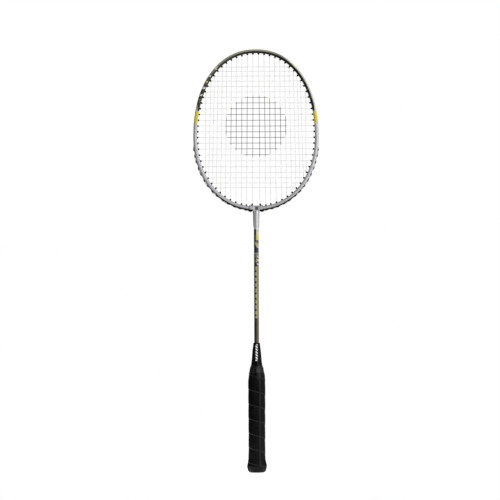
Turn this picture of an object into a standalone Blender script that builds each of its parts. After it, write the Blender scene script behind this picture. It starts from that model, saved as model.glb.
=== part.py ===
"""Badminton racket: a strung oval hoop, T-joint, slender shaft, cone and wrapped octagonal handle.

Metres, with +Z from the butt towards the head, +X across the face and +Y through the strings.
The origin is the middle of the flat butt end.
"""

import math

import bmesh
import bpy
import numpy as np
from mathutils import Vector

# Driving dimensions
TOTAL_LENGTH = 0.675
HEAD_HALF_WIDTH = 0.1002
HEAD_CENTRE_Z = 0.5353
HEAD_DROP = 0.1174
UPPER_ROUNDNESS = 2.17
LOWER_ROUNDNESS = 2.1
FIT_GAP = 0.0003
OVERCUT = 1.2

# Hoop tube. An inset is a distance from the hoop's outer edge towards its middle.
HOOP_WIDTH = 0.0063
HOOP_HALF_DEPTH = 0.0048
HOOP_CORNER = 0.0024
HOOP_WALL = 0.001
HOLLOW_CORNER = 0.0007
HALF_JOIN = 0.0006
GROOVE_HALF = 0.0021
GROOVE_FLOOR = 0.0019

# Grommet holes, counted anticlockwise from the right of the bottom
HOLES = 72
HALF_HOLES = HOLES // 2
BOTTOM_SPREAD = 0.009
CORNER_SPREAD = 0.0031
SHAFT_SPREAD = 0.0087
BARREL_RADIUS = 0.00155
BORE_RADIUS = 0.0011
BARREL_STAND = 0.0021
BARREL_TIP = HOOP_WIDTH + BARREL_STAND
LONG_BARREL_TIP = 0.0106
HOLE_RADIUS = BARREL_RADIUS + FIT_GAP / math.cos(math.radians(30))
SPLAY = 0.0025

# Grommet strips
STRIP_HALF = GROOVE_HALF - FIT_GAP
STRIP_BED = GROOVE_FLOOR - FIT_GAP
SUNK_STRIP_FACE = 0.001
PROUD_STRIP_FACE = -0.0007
LAST_PROUD_HOLE = 14
BOTTOM_STRIP_FACE = -0.0013
LAST_BOTTOM_HOLE = 6
STRIP_END_GAP = 0.0005
STRIP_START_BY_SHAFT = 0.0066
SIDE_STRIPS = {
    "bottom": (0, 6),
    "lower_corner": (7, 10),
    "low_side": (11, 14),
    "middle_side": (15, 18),
    "high_side": (19, 22),
    "upper_corner": (23, 26),
    "shoulder": (27, 30),
}
TOP_STRIP = (31, 40)

# Strings
STRING_RADIUS = 0.00035
STRING_SIDES = 6
MAIN_Y = -0.0005
CROSS_Y = 0.0005
MAINS_PER_SIDE = 11
CROSSES = 23
FIRST_CROSS_HOLE = 7
OUTER_MAIN_TOP_SKIP = 1

# T-joint
SLEEVE_HALF_LENGTH = 0.0113
SLEEVE_WALL = 0.001
SOCKET_BOTTOM_Z = 0.3912
SOCKET_BOTTOM_RADIUS = 0.0047
SOCKET_TOP_Z = 0.4215
SOCKET_TOP_RADIUS = 0.0058
SLOT_START = 0.0062
PLUG_HALF_LENGTH = 0.008
PIN_Z = HEAD_CENTRE_Z - HEAD_DROP + HOOP_WIDTH / 2
PIN_RADIUS = 0.0008
PIN_HALF_LENGTH = 0.0056

# Shaft
SHAFT_RADIUS = 0.0039
SHAFT_BORE_RADIUS = 0.0032
SHAFT_BOTTOM_Z = 0.098
SHAFT_TOP_Z = 0.4142
BORE_TOP_Z = SHAFT_TOP_Z + FIT_GAP
ROUND_SIDES = 24

# Handle
CONE_TOP_Z = 0.2065
CONE_BOTTOM_Z = 0.145
CONE_STEP_Z = 0.1695
CONE_SEEN_RADIUS = 0.00915
CONE_HIDDEN_RADIUS = 0.0087
CUP_TOP_Z = 0.1575
BAND_BOTTOM_Z = 0.158
BAND_TOP_Z = 0.168
WOOD_APOTHEM = 0.0116
CORE_BOTTOM_Z = 0.0045
CORE_TOP_Z = CONE_BOTTOM_Z - FIT_GAP
LIGHTENING_RADIUS = 0.0065
TENON_RADIUS = 0.0085
STAPLE_SINK = 0.0005
STAPLE_Z = 0.034
STAPLE_RADIUS = 0.00035
STAPLE_HALF_WIDTH = 0.0042
STAPLE_LEG = 0.005
FACET = math.radians(45)
CORNER_REACH = math.radians(18.5)

ACROSS = Vector((1, 0, 0))
BEHIND = Vector((0, 1, 0))
UP = Vector((0, 0, 1))


def clear_scene():
    """Take every object out of the scene."""
    for old in list(bpy.data.objects):
        bpy.data.objects.remove(old, do_unlink=True)


def finish(name, colour, roughness, metallic):
    """A painted or moulded finish."""
    material = bpy.data.materials.new(name)
    material.use_nodes = True
    shader = material.node_tree.nodes["Principled BSDF"]
    shader.inputs["Base Color"].default_value = (*colour, 1)
    shader.inputs["Roughness"].default_value = roughness
    shader.inputs["Metallic"].default_value = metallic
    return material


def solid(name, lofts, material=None):
    """An object made of lofts. A loft is (rings, joined): joined makes its last ring meet its first."""
    mesh = bmesh.new()
    for rings, joined in lofts:
        corners = [[mesh.verts.new(point) for point in ring] for ring in rings]
        pairs = list(zip(corners, corners[1:]))
        if joined:
            pairs.append((corners[-1], corners[0]))
        else:
            mesh.faces.new(corners[0])
            mesh.faces.new(corners[-1])
        for first, second in pairs:
            for i, corner in enumerate(first):
                j = (i + 1) % len(first)
                mesh.faces.new((corner, first[j], second[j], second[i]))
    bmesh.ops.recalc_face_normals(mesh, faces=mesh.faces)
    data = bpy.data.meshes.new(name)
    mesh.to_mesh(data)
    mesh.free()
    data.shade_smooth()
    data.set_sharp_from_angle(angle=math.radians(40))
    piece = bpy.data.objects.new(name, data)
    bpy.context.scene.collection.objects.link(piece)
    if material:
        data.materials.append(material)
    return piece


def helper(name, lofts):
    """A shape that only joins or cuts others."""
    shape = solid(name, lofts)
    shape.hide_render = True
    shape.display_type = "WIRE"
    return shape


def combine(piece, shape, operation):
    """Join a helper to a piece, or cut it away."""
    step = piece.modifiers.new(shape.name, "BOOLEAN")
    step.object = shape
    step.operation = operation


def circle(centre, first_axis, second_axis, radius, sides):
    """A ring of points round a centre."""
    turns = [2 * math.pi * (side + 0.5) / sides for side in range(sides)]
    return [centre + radius * (math.cos(turn) * first_axis + math.sin(turn) * second_axis) for turn in turns]


def stack(levels, axis=UP, sides=ROUND_SIDES):
    """A loft of round levels along an axis through the origin, each (radius, distance along the axis)."""
    second = axis.cross(ACROSS)
    return [circle(distance * axis, ACROSS, second, radius, sides) for radius, distance in levels], False


def turned(profile, sides=ROUND_SIDES):
    """A loft of a closed (radius, z) profile that goes round the upright axis and leaves a hole there."""
    rings = []
    for side in range(sides):
        turn = 2 * math.pi * (side + 0.5) / sides
        outward = Vector((math.cos(turn), math.sin(turn), 0))
        rings.append([radius * outward + z * UP for radius, z in profile])
    return rings, True


def outline():
    """The hoop's outer edge as (x, z) points, its outward directions, and the fraction of the way round."""
    turn = np.linspace(-0.5 * math.pi, 1.5 * math.pi, 7201)
    across = np.cos(turn)
    upward = np.sin(turn)
    power = 2 / np.where(upward >= 0, UPPER_ROUNDNESS, LOWER_ROUNDNESS)
    reach = np.where(upward >= 0, TOTAL_LENGTH - HEAD_CENTRE_Z, HEAD_DROP)
    x = HEAD_HALF_WIDTH * np.sign(across) * np.abs(across) ** power
    z = HEAD_CENTRE_Z + reach * np.sign(upward) * np.abs(upward) ** power
    edge = np.stack([x, z], axis=1)
    along = np.gradient(edge, axis=0)
    along /= np.linalg.norm(along, axis=1)[:, None]
    outward = np.stack([along[:, 1], -along[:, 0]], axis=1)
    inner = edge - HOOP_WIDTH * outward
    steps = np.linalg.norm(np.diff(inner, axis=0), axis=1)
    travelled = np.concatenate([[0], np.cumsum(steps)])
    return edge, outward, travelled / travelled[-1], travelled[-1]


EDGE, OUTWARD, FRACTION, INNER_LENGTH = outline()


def hoop_place(fraction):
    """The outer edge's (x, z) point and outward direction, a fraction of the way round from the bottom."""
    fraction = fraction % 1
    point = np.array([np.interp(fraction, FRACTION, EDGE[:, axis]) for axis in (0, 1)])
    outward = np.array([np.interp(fraction, FRACTION, OUTWARD[:, axis]) for axis in (0, 1)])
    return point, outward / np.linalg.norm(outward)


def station(number):
    """The fraction of the way round of a boundary between two holes: even but for a slight spread."""
    if number > HALF_HOLES:
        return 1 - station(HOLES - number)
    even = number / HALF_HOLES
    spread = BOTTOM_SPREAD * math.sin(math.pi * even) - CORNER_SPREAD * math.sin(4 * math.pi * even)
    if number == 1:
        spread += SHAFT_SPREAD
    return 0.5 * (even + spread)


def sweep(fractions, section):
    """Rings of an (inset, y) section at places round the hoop."""
    rings = []
    for fraction in fractions:
        point, outward = hoop_place(fraction)
        places = [(point - inset * outward, y) for inset, y in section]
        rings.append([Vector((place[0], y, place[1])) for place, y in places])
    return rings


def bottom_run(half_length):
    """Fractions that run under the head, from one side of the shaft to the other."""
    reach = half_length / INNER_LENGTH
    return [-reach, 0, reach]


def rounded_section(near, far, half_depth, corner, steps):
    """A rounded rectangle of (inset, y) points between two insets."""
    middle_y = half_depth - corner
    centres = [(far - corner, middle_y), (near + corner, middle_y)]
    centres += [(near + corner, -middle_y), (far - corner, -middle_y)]
    points = []
    for quarter, (inset, y) in enumerate(centres):
        for step in range(steps + 1):
            turn = 0.5 * math.pi * (quarter + step / steps)
            points.append((inset + corner * math.cos(turn), y + corner * math.sin(turn)))
    return points


def grooved_section():
    """The hoop tube's section: a rounded rectangle with the string groove in its outer side."""
    steps = 2
    points = rounded_section(0, HOOP_WIDTH, HOOP_HALF_DEPTH, HOOP_CORNER, steps)
    groove = [(0, GROOVE_HALF), (GROOVE_FLOOR, GROOVE_HALF)]
    groove += [(GROOVE_FLOOR, -GROOVE_HALF), (0, -GROOVE_HALF)]
    outer_side = 2 * (steps + 1)
    return points[:outer_side] + groove + points[outer_side:]


def hole_axes(hole):
    """A grommet hole's (x, z) point on the outer edge, its outward direction and its sideways lean."""
    ends = [hoop_place(station(hole)), hoop_place(station(hole + 1))]
    point = 0.5 * (ends[0][0] + ends[1][0])
    along = ends[1][0] - ends[0][0]
    along /= np.linalg.norm(along)
    outward = np.array([along[1], -along[0]])
    lean = {0: SPLAY, HOLES - 1: -SPLAY}.get(hole, 0)
    return point, outward, lean * along


def barrel_tip(hole):
    """The inset of a grommet barrel's tip. The two beside the shaft are longer, to clear the T-joint."""
    return LONG_BARREL_TIP if hole in (0, HOLES - 1) else BARREL_TIP


def hole_point(hole, inset):
    """The (x, z) point on a grommet hole's centre line at an inset. The two beside the shaft splay apart."""
    point, outward, lean = hole_axes(hole)
    return point - inset * outward + lean * (1 - inset / barrel_tip(hole))


def hole_rod(hole, near, far, radius):
    """A loft of a six-sided rod along a grommet hole, between two insets."""
    outward = hole_axes(hole)[1]
    across = Vector((outward[1], 0, -outward[0]))
    rings = []
    for inset in (near, far):
        x, z = hole_point(hole, inset)
        rings.append(circle(Vector((x, 0, z)), across, BEHIND, radius, 6))
    return rings, False


def strip_face(hole):
    """The inset of a grommet strip's outer face: proud of the hoop low down, sunk in the groove above."""
    height = min(hole, HOLES - 1 - hole)
    if height <= LAST_BOTTOM_HOLE:
        return BOTTOM_STRIP_FACE
    return PROUD_STRIP_FACE if height <= LAST_PROUD_HOLE else SUNK_STRIP_FACE


def string_inset(hole):
    """The inset of a string that runs over a grommet strip."""
    return strip_face(hole) - FIT_GAP - STRING_RADIUS


def tube(points, normal, radius, sides):
    """A loft of a tube with mitred bends along points that lie in a plane with this normal."""
    rings = []
    for i, point in enumerate(points):
        before = (point - points[max(i - 1, 0)]).normalized()
        after = (points[min(i + 1, len(points) - 1)] - point).normalized()
        along = (before + after).normalized()
        half_bend = max(along.dot(before), along.dot(after))
        side = normal.cross(along) / half_bend
        rings.append(circle(point, normal, side, radius, sides))
    return rings, False


def run_over(first, last):
    """(x, z) points of a string that runs over the outside of the hoop from one hole to another."""
    step = 1 if last > first else -1
    points = []
    for hole in range(first, last, step):
        point, outward = hoop_place(station(max(hole, hole + step)))
        inset = min(string_inset(hole), string_inset(hole + step))
        points.append(point - inset * outward)
    return points


def string_tube(runs, y):
    """A loft of one whole string. A run is (the hole that it comes in by, the hole that it leaves by)."""
    points = []
    for i, (start, end) in enumerate(runs):
        if i:
            points += run_over(runs[i - 1][1], start)
        for hole in (start, end):
            passage = [hole_point(hole, string_inset(hole)), hole_point(hole, barrel_tip(hole) + FIT_GAP)]
            points += passage if hole == start else passage[::-1]
    return tube([Vector((x, y, z)) for x, z in points], BEHIND, STRING_RADIUS, STRING_SIDES)


def main_runs():
    """The runs of the lengthwise string, from the left edge to the right, up and down in turn."""
    pairs = []
    for main in range(MAINS_PER_SIDE):
        skip = OUTER_MAIN_TOP_SKIP if main == MAINS_PER_SIDE - 1 else 0
        pairs.append((main, HALF_HOLES - 1 - main - skip))
    left = [(HOLES - 1 - bottom, HOLES - 1 - top) for bottom, top in reversed(pairs)]
    ordered = left + pairs
    return [pair if i % 2 == 0 else pair[::-1] for i, pair in enumerate(ordered)]


def cross_runs():
    """The runs of the crosswise string, from the bottom up, to the right and left in turn."""
    runs = []
    for cross in range(CROSSES):
        right = FIRST_CROSS_HOLE + cross
        left = HOLES - 1 - right
        runs.append((left, right) if cross % 2 == 0 else (right, left))
    return runs


def make_hoop(material, end_holes, pin_hole):
    """The hoop: one hollow tube bent round, with its open ends facing each other over the shaft."""
    join = HALF_JOIN / INNER_LENGTH
    fractions = [join] + [station(number) for number in range(1, HOLES)] + [1 - join]
    hoop = solid("head_frame", [(sweep(fractions, grooved_section()), False)], material)
    near = GROOVE_FLOOR + HOOP_WALL
    far = HOOP_WIDTH - HOOP_WALL
    section = rounded_section(near, far, HOOP_HALF_DEPTH - HOOP_WALL, HOLLOW_CORNER, 1)
    rings = sweep([station(number) for number in range(HOLES)], section)
    combine(hoop, helper("hoop_hollow", [(rings, True)]), "DIFFERENCE")
    holes = [hole_rod(hole, -FIT_GAP, BARREL_TIP, HOLE_RADIUS) for hole in range(1, HOLES - 1)]
    combine(hoop, helper("hoop_holes", holes), "DIFFERENCE")
    combine(hoop, end_holes, "DIFFERENCE")
    combine(hoop, pin_hole, "DIFFERENCE")


def make_hoop_plug(material, end_holes, pin_hole):
    """The plug that bridges the tube's two ends, notched for the grommets beside it and drilled for the pin."""
    near = GROOVE_FLOOR + HOOP_WALL + FIT_GAP
    far = HOOP_WIDTH - HOOP_WALL - FIT_GAP
    section = rounded_section(near, far, HOOP_HALF_DEPTH - HOOP_WALL - FIT_GAP, HOLLOW_CORNER, 1)
    reach = PLUG_HALF_LENGTH / INNER_LENGTH
    plug = solid("hoop_plug", [(sweep([-reach, 0, reach], section), False)], material)
    combine(plug, end_holes, "DIFFERENCE")
    combine(plug, pin_hole, "DIFFERENCE")


def make_t_joint(material, end_holes, pin_hole):
    """The T-joint: a sleeve round the bottom of the hoop, joined to the socket that takes the shaft."""
    shell = FIT_GAP + SLEEVE_WALL
    around = rounded_section(-shell, HOOP_WIDTH + shell, HOOP_HALF_DEPTH + shell, HOOP_CORNER + shell, 2)
    joint = solid("t_joint", [(sweep(bottom_run(SLEEVE_HALF_LENGTH), around), False)], material)
    socket = [(SOCKET_BOTTOM_RADIUS, SOCKET_BOTTOM_Z), (SOCKET_TOP_RADIUS, SOCKET_TOP_Z)]
    combine(joint, helper("socket", [stack(socket)]), "UNION")
    passage = rounded_section(
        -FIT_GAP, HOOP_WIDTH + FIT_GAP, HOOP_HALF_DEPTH + FIT_GAP, HOOP_CORNER + FIT_GAP, 2
    )
    rings = sweep(bottom_run(OVERCUT * SLEEVE_HALF_LENGTH), passage)
    combine(joint, helper("hoop_passage", [(rings, False)]), "DIFFERENCE")
    slot = [(GROOVE_FLOOR, GROOVE_HALF), (-HOOP_WIDTH, GROOVE_HALF)]
    slot += [(-HOOP_WIDTH, -GROOVE_HALF), (GROOVE_FLOOR, -GROOVE_HALF)]
    start = SLOT_START / INNER_LENGTH
    end = OVERCUT * SLEEVE_HALF_LENGTH / INNER_LENGTH
    slots = [(sweep([side * start, side * end], slot), False) for side in (-1, 1)]
    combine(joint, helper("strip_slots", slots), "DIFFERENCE")
    combine(joint, end_holes, "DIFFERENCE")
    combine(joint, pin_hole, "DIFFERENCE")
    bore = [(SHAFT_RADIUS + FIT_GAP, SOCKET_BOTTOM_Z - SLEEVE_WALL), (SHAFT_RADIUS + FIT_GAP, BORE_TOP_Z)]
    combine(joint, helper("shaft_bore", [stack(bore)]), "DIFFERENCE")


def pin_loft(radius, half_length, dome):
    """A loft of a round pin through the T-joint from front to back, with domed ends."""
    levels = [(radius - dome, -half_length), (radius, dome - half_length)]
    levels += [(radius, half_length - dome), (radius - dome, half_length)]
    rings, joined = stack(levels, BEHIND, 12)
    return [[point + PIN_Z * UP for point in ring] for ring in rings], joined


def make_strip(name, first, last, material):
    """A grommet strip: a bar along the groove with a bored barrel for each hole."""
    trim = STRIP_END_GAP / INNER_LENGTH
    by_shaft = STRIP_START_BY_SHAFT / INNER_LENGTH
    begin = max(station(first) + trim, by_shaft)
    end = min(station(last + 1) - trim, 1 - by_shaft)
    fractions = [begin] + [station(number) for number in range(first + 1, last + 1)] + [end]
    face = strip_face(first)
    section = [(STRIP_BED, STRIP_HALF), (face, STRIP_HALF), (face, -STRIP_HALF), (STRIP_BED, -STRIP_HALF)]
    strip = solid(name, [(sweep(fractions, section), False)], material)
    holes = range(first, last + 1)
    root = 0.5 * (STRIP_BED + face)
    barrels = [hole_rod(hole, root, barrel_tip(hole), BARREL_RADIUS) for hole in holes]
    combine(strip, helper(name + "_barrels", barrels), "UNION")
    bores = [
        hole_rod(hole, face - BORE_RADIUS, barrel_tip(hole) + BORE_RADIUS, BORE_RADIUS) for hole in holes
    ]
    combine(strip, helper(name + "_bores", bores), "DIFFERENCE")


def make_strips(material):
    """All the grommet strips: a mirrored pair for each place, and one over the top."""
    for place, (first, last) in SIDE_STRIPS.items():
        make_strip(f"grommets_{place}_right", first, last, material)
        make_strip(f"grommets_{place}_left", HOLES - 1 - last, HOLES - 1 - first, material)
    make_strip("grommets_top", *TOP_STRIP, material)


def make_shaft(material):
    """The shaft: a plain round tube."""
    profile = [(SHAFT_RADIUS, SHAFT_BOTTOM_Z), (SHAFT_RADIUS, SHAFT_TOP_Z)]
    profile += [(SHAFT_BORE_RADIUS, SHAFT_TOP_Z), (SHAFT_BORE_RADIUS, SHAFT_BOTTOM_Z)]
    solid("shaft", [turned(profile)], material)


def make_cone(material):
    """The cone: straight-tapered, stepped where the grip covers it, with a cup over the wood's tenon."""
    bore = SHAFT_RADIUS + FIT_GAP
    cup = TENON_RADIUS + 2 * FIT_GAP
    outside = [(0.0112, CONE_BOTTOM_Z), (CONE_HIDDEN_RADIUS, CONE_STEP_Z - 0.0005)]
    outside += [(CONE_SEEN_RADIUS, CONE_STEP_Z), (CONE_SEEN_RADIUS, CONE_STEP_Z + 0.001)]
    outside += [(0.0053, CONE_TOP_Z - 0.0008), (0.0048, CONE_TOP_Z)]
    inside = [(bore, CONE_TOP_Z), (bore, CUP_TOP_Z), (cup, CUP_TOP_Z), (cup, CONE_BOTTOM_Z)]
    solid("cone_cap", [turned(outside + inside)], material)


def make_handle_core(material):
    """The wooden core: eight flats, flared at the butt, bored through, with a tenon for the cone."""
    shaft_bore = (SHAFT_RADIUS + FIT_GAP) / math.cos(CORNER_REACH / 2)
    profile = [(0.0133, CORE_BOTTOM_Z, 0), (0.0139, 0.0075, 0), (0.0133, 0.012, 0), (0.0122, 0.020, 0)]
    profile += [(WOOD_APOTHEM, 0.028, 0), (WOOD_APOTHEM, CORE_TOP_Z, 0)]
    profile += [(TENON_RADIUS, CORE_TOP_Z, 1), (TENON_RADIUS, CUP_TOP_Z - FIT_GAP, 1)]
    profile += [(shaft_bore, CUP_TOP_Z - FIT_GAP, 1), (shaft_bore, SHAFT_BOTTOM_Z - 0.002, 1)]
    profile += [(LIGHTENING_RADIUS, SHAFT_BOTTOM_Z - 0.005, 1), (LIGHTENING_RADIUS, CORE_BOTTOM_Z, 1)]
    core = solid("handle_core", [wrapped(profile)], material)
    slot = staple_loft(STAPLE_RADIUS + FIT_GAP, STAPLE_LEG + FIT_GAP)
    combine(core, helper("staple_slot", [slot]), "DIFFERENCE")


def staple_loft(radius, leg):
    """A loft of the staple: a crown along the back flat of the wood, with two legs into it."""
    crown = WOOD_APOTHEM - STAPLE_SINK
    corners = [(-STAPLE_HALF_WIDTH, crown - leg), (-STAPLE_HALF_WIDTH, crown)]
    corners += [(STAPLE_HALF_WIDTH, crown), (STAPLE_HALF_WIDTH, crown - leg)]
    return tube([Vector((x, y, STAPLE_Z)) for x, y in corners], UP, radius, STRING_SIDES)


def wrapped(profile):
    """A loft of a closed (apothem, z, roundness) profile round the handle: eight flats at 0, a circle at 1."""
    rings = []
    for flat in range(8):
        for lean in (-CORNER_REACH, 0, CORNER_REACH):
            turn = flat * FACET + lean
            outward = Vector((math.cos(turn), math.sin(turn), 0))
            ring = []
            for apothem, z, roundness in profile:
                radius = apothem * ((1 - roundness) / math.cos(lean) + roundness)
                ring.append(radius * outward + z * UP)
            rings.append(ring)
    return rings, True


def make_grip_tape(material):
    """The wrapped grip: flats down the handle, flared and turned in at the butt, rounded on the cone."""
    outside = [(0.0132, 0.0008, 0), (0.0140, 0.0019, 0), (0.0149, 0.0042, 0), (0.0156, 0.0074, 0)]
    outside += [(0.01585, 0.0102, 0), (0.0155, 0.0127, 0), (0.0147, 0.0164, 0), (0.0138, 0.0208, 0)]
    outside += [(0.0134, 0.0255, 0), (0.01315, 0.045, 0), (0.0135, 0.142, 0), (0.0132, 0.149, 0.5)]
    outside += [(0.0126, 0.1565, 1)]
    outside += [(0.0117, BAND_BOTTOM_Z, 1), (0.0098, BAND_TOP_Z, 1)]
    inside = [(0.0092, BAND_TOP_Z, 1), (0.0101, 0.1605, 1), (0.0110, 0.152, 1), (0.0119, 0.1465, 0)]
    inside += [(0.01192, 0.028, 0), (0.01255, 0.020, 0), (0.01365, 0.012, 0), (0.01423, 0.0075, 0)]
    inside += [(0.0136, 0.0041, 0), (0.0132, 0.0038, 0)]
    solid("grip_tape", [wrapped(outside + inside)], material)


def make_finishing_tape(material):
    """The thin band that ends the grip."""
    profile = [(0.0125, BAND_BOTTOM_Z), (0.01055, BAND_TOP_Z), (0.01025, BAND_TOP_Z), (0.0122, BAND_BOTTOM_Z)]
    solid("finishing_tape", [turned(profile)], material)


def make_butt_cap(material):
    """The end cap: a flat plate with a rounded edge and a spigot up into the wood."""
    spigot = LIGHTENING_RADIUS * math.cos(FACET / 2) - 2 * FIT_GAP
    plate_top = CORE_BOTTOM_Z - FIT_GAP
    levels = [(0.0118, 0), (0.0125, 0.0004), (0.01285, 0.0014), (0.01285, plate_top)]
    levels += [(spigot, plate_top), (spigot, 0.0105)]
    solid("butt_cap", [stack(levels)], material)


def build():
    """Make every piece of the racket."""
    clear_scene()
    silver = finish("silver_paint", (0.58, 0.59, 0.60), 0.28, 0.7)
    black_nylon = finish("black_nylon", (0.015, 0.015, 0.016), 0.45, 0)
    string = finish("white_string", (0.85, 0.85, 0.83), 0.35, 0)
    end_holes = helper(
        "end_holes", [hole_rod(hole, -SPLAY, LONG_BARREL_TIP, HOLE_RADIUS) for hole in (0, HOLES - 1)]
    )
    pin_hole = helper("pin_hole", [pin_loft(PIN_RADIUS + FIT_GAP, OVERCUT * PIN_HALF_LENGTH, FIT_GAP)])
    make_hoop(silver, end_holes, pin_hole)
    make_hoop_plug(finish("plug_plastic", (0.08, 0.08, 0.08), 0.6, 0), end_holes, pin_hole)
    make_t_joint(finish("joint_paint", (0.60, 0.61, 0.62), 0.25, 0.7), end_holes, pin_hole)
    pin = pin_loft(PIN_RADIUS, PIN_HALF_LENGTH, FIT_GAP)
    solid("t_joint_pin", [pin], finish("dark_steel", (0.12, 0.12, 0.12), 0.4, 1))
    make_strips(black_nylon)
    solid("main_string", [string_tube(main_runs(), MAIN_Y)], string)
    solid("cross_string", [string_tube(cross_runs(), CROSS_Y)], string)
    make_shaft(finish("dark_shaft_paint", (0.03, 0.025, 0.02), 0.25, 0))
    make_cone(finish("black_gloss", (0.01, 0.01, 0.01), 0.15, 0))
    make_handle_core(finish("wood", (0.55, 0.38, 0.22), 0.7, 0))
    staple = staple_loft(STAPLE_RADIUS, STAPLE_LEG)
    solid("grip_staple", [staple], finish("staple_steel", (0.6, 0.6, 0.6), 0.35, 1))
    make_grip_tape(finish("black_grip", (0.02, 0.02, 0.02), 0.7, 0))
    make_finishing_tape(finish("black_tape", (0.015, 0.015, 0.015), 0.5, 0))
    make_butt_cap(finish("butt_plastic", (0.02, 0.02, 0.02), 0.4, 0))


build()
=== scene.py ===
"""Looks of the badminton racket: painted, moulded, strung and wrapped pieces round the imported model.

Metres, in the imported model's frame: +Z from butt to head, +X across the face, +Y through the strings.
"""

import math

import bmesh
import bpy
import numpy as np
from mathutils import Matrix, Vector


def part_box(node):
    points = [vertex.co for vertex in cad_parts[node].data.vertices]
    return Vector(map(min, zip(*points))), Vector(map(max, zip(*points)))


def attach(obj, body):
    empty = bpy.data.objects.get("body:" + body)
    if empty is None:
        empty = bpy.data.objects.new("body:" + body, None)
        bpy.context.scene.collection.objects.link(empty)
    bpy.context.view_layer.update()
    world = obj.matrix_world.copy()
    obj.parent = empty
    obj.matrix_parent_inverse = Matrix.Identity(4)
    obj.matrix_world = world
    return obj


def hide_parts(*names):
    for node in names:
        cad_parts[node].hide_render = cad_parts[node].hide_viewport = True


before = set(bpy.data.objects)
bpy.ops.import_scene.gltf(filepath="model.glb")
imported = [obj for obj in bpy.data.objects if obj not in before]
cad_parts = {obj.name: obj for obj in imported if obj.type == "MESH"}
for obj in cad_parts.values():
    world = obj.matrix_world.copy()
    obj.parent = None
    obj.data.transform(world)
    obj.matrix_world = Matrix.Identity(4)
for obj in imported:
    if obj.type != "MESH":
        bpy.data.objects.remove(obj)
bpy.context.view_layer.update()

# Hoop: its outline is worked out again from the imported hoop's own box
HOOP_LOW, HOOP_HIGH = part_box("head_frame")
HEAD_DROP = 0.1174
HEAD_CENTRE_Z = HOOP_LOW.z + HEAD_DROP
HEAD_RISE = HOOP_HIGH.z - HEAD_CENTRE_Z
HEAD_HALF_WIDTH = HOOP_HIGH.x
UPPER_ROUNDNESS = 2.17
LOWER_ROUNDNESS = 2.1
HOOP_WIDTH = 0.0063
HOOP_HALF_DEPTH = HOOP_HIGH.y
SECTION_ROUNDNESS = 2.7
GROOVE_HALF = 0.0021
GROOVE_FLOOR = 0.0019
GROOVE_LIP = 0.0003
OUTLINE_POINTS = 7201

# Grommet holes, counted anticlockwise from the right of the bottom
HOLES = 72
HALF_HOLES = HOLES // 2
BOTTOM_SPREAD = 0.009
CORNER_SPREAD = 0.0031
SHAFT_SPREAD = 0.0087
BARREL_TIP = HOOP_WIDTH + 0.0021
LONG_BARREL_TIP = 0.0106
SPLAY = 0.0025
LAST_PROUD_HOLE = 14
SIDE_STRIPS = {
    "bottom": (0, 6),
    "lower_corner": (7, 10),
    "low_side": (11, 14),
    "middle_side": (15, 18),
    "high_side": (19, 22),
    "upper_corner": (23, 26),
    "shoulder": (27, 30),
}
TOP_STRIP = (31, 40)
STRIP_HALF = 0.0018
STRIP_BED = 0.0016
STRIP_END_GAP = 0.0005
STRIP_START_BY_SHAFT = 0.0062
STRIP_NOSE = 0.0016
STRIP_ROUNDING = 0.0008
FLANGE_REACH = 0.0013

# Grommet heads: how far they stand out of their strip, and half their length along it
SHAFT_HEAD = (0.0022, 0.0044)
BOTTOM_HEAD = (0.0009, 0.0031)
SIDE_HEAD = (0.0012, 0.0031)
SUNK_HEAD = (0.0003, 0.0022)

# Strings
STRING_RADIUS = 0.0004
STRING_SIDES = 8
MAINS_PER_SIDE = 11
CROSSES = 23
FIRST_CROSS_HOLE = 7
HOLE_SIDE = 0.0003
MAIN_WAVE = 0.00025
CROSS_WAVE = 0.00046
WEAVE_STEPS = 6
STRING_DRIFT = 0.00035
MOUTH_REACH = 0.008
KNOT_TURNS = 3
KNOT_LENGTH = 0.0021
KNOT_RADIUS = 0.00062

# T-joint and shaft
JOINT_LOW, JOINT_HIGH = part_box("t_joint")
SLEEVE_SHELL = JOINT_HIGH.y - HOOP_HALF_DEPTH
SLEEVE_HALF_LENGTH = 0.0113
PIN_Z = HOOP_LOW.z + HOOP_WIDTH / 2
SHAFT_LOW, SHAFT_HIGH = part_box("shaft")
SHAFT_RADIUS = SHAFT_HIGH.x
VISIBLE_GAP = 0.0002
DIMPLE_DEPTH = 0.0013
DIMPLE_RADIUS = 0.0027

# Handle
CONE_LOW, CONE_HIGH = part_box("cone_cap")
BAND_LOW, BAND_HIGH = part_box("finishing_tape")
GRIP_TOP_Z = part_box("grip_tape")[1].z
BUTT_CAP_TOP_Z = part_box("butt_cap")[1].z
WRAP_PITCH = 0.0233
WRAP_SEAM_Z = 0.0350
WRAP_LEDGE = 0.0005

# Paint: where colours meet, from and to, and the pitches of the plain marks
FLAKES_PER_METRE = 5200
YELLOW_FROM_Z = 0.5592
PALE_EDGE_Z = (0.5752, 0.5758)
CREAM_EDGE_Z = (0.5797, 0.5805)
BLACK_EDGE_Z = (0.5757, 0.5768)
DARK_LIP = 0.0019
DARK_LIP_EDGE_Z = (0.470, 0.430)
STRIPE_Z = (0.2459, 0.3282)
STRIPE_DASHES_Z = (0.2495, 0.3275)
STRIPE_DASH_PITCH = 0.0088
SILVER_FADE_Z = (0.3858, 0.3892)
CONE_DASHES_Z = (0.1780, 0.2043)
CONE_DASH_PITCH = 0.0044
DYE_CENTRE_Z = 0.552
DYE_RADIUS = 0.050

# Camera
VIEW_WIDTH = 0.798
VIEW_CENTRE_X = -0.0101
VIEW_CENTRE_Z = 0.3547
VIEW_ROLL = math.radians(0.18)
LENS = 200
SENSOR = 36
FLOOR_RADIUS = 0.3


# ---- mesh building


def mount(shape, nodes):
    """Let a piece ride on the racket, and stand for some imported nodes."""
    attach(shape, "root")
    if nodes:
        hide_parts(*nodes)


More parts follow.
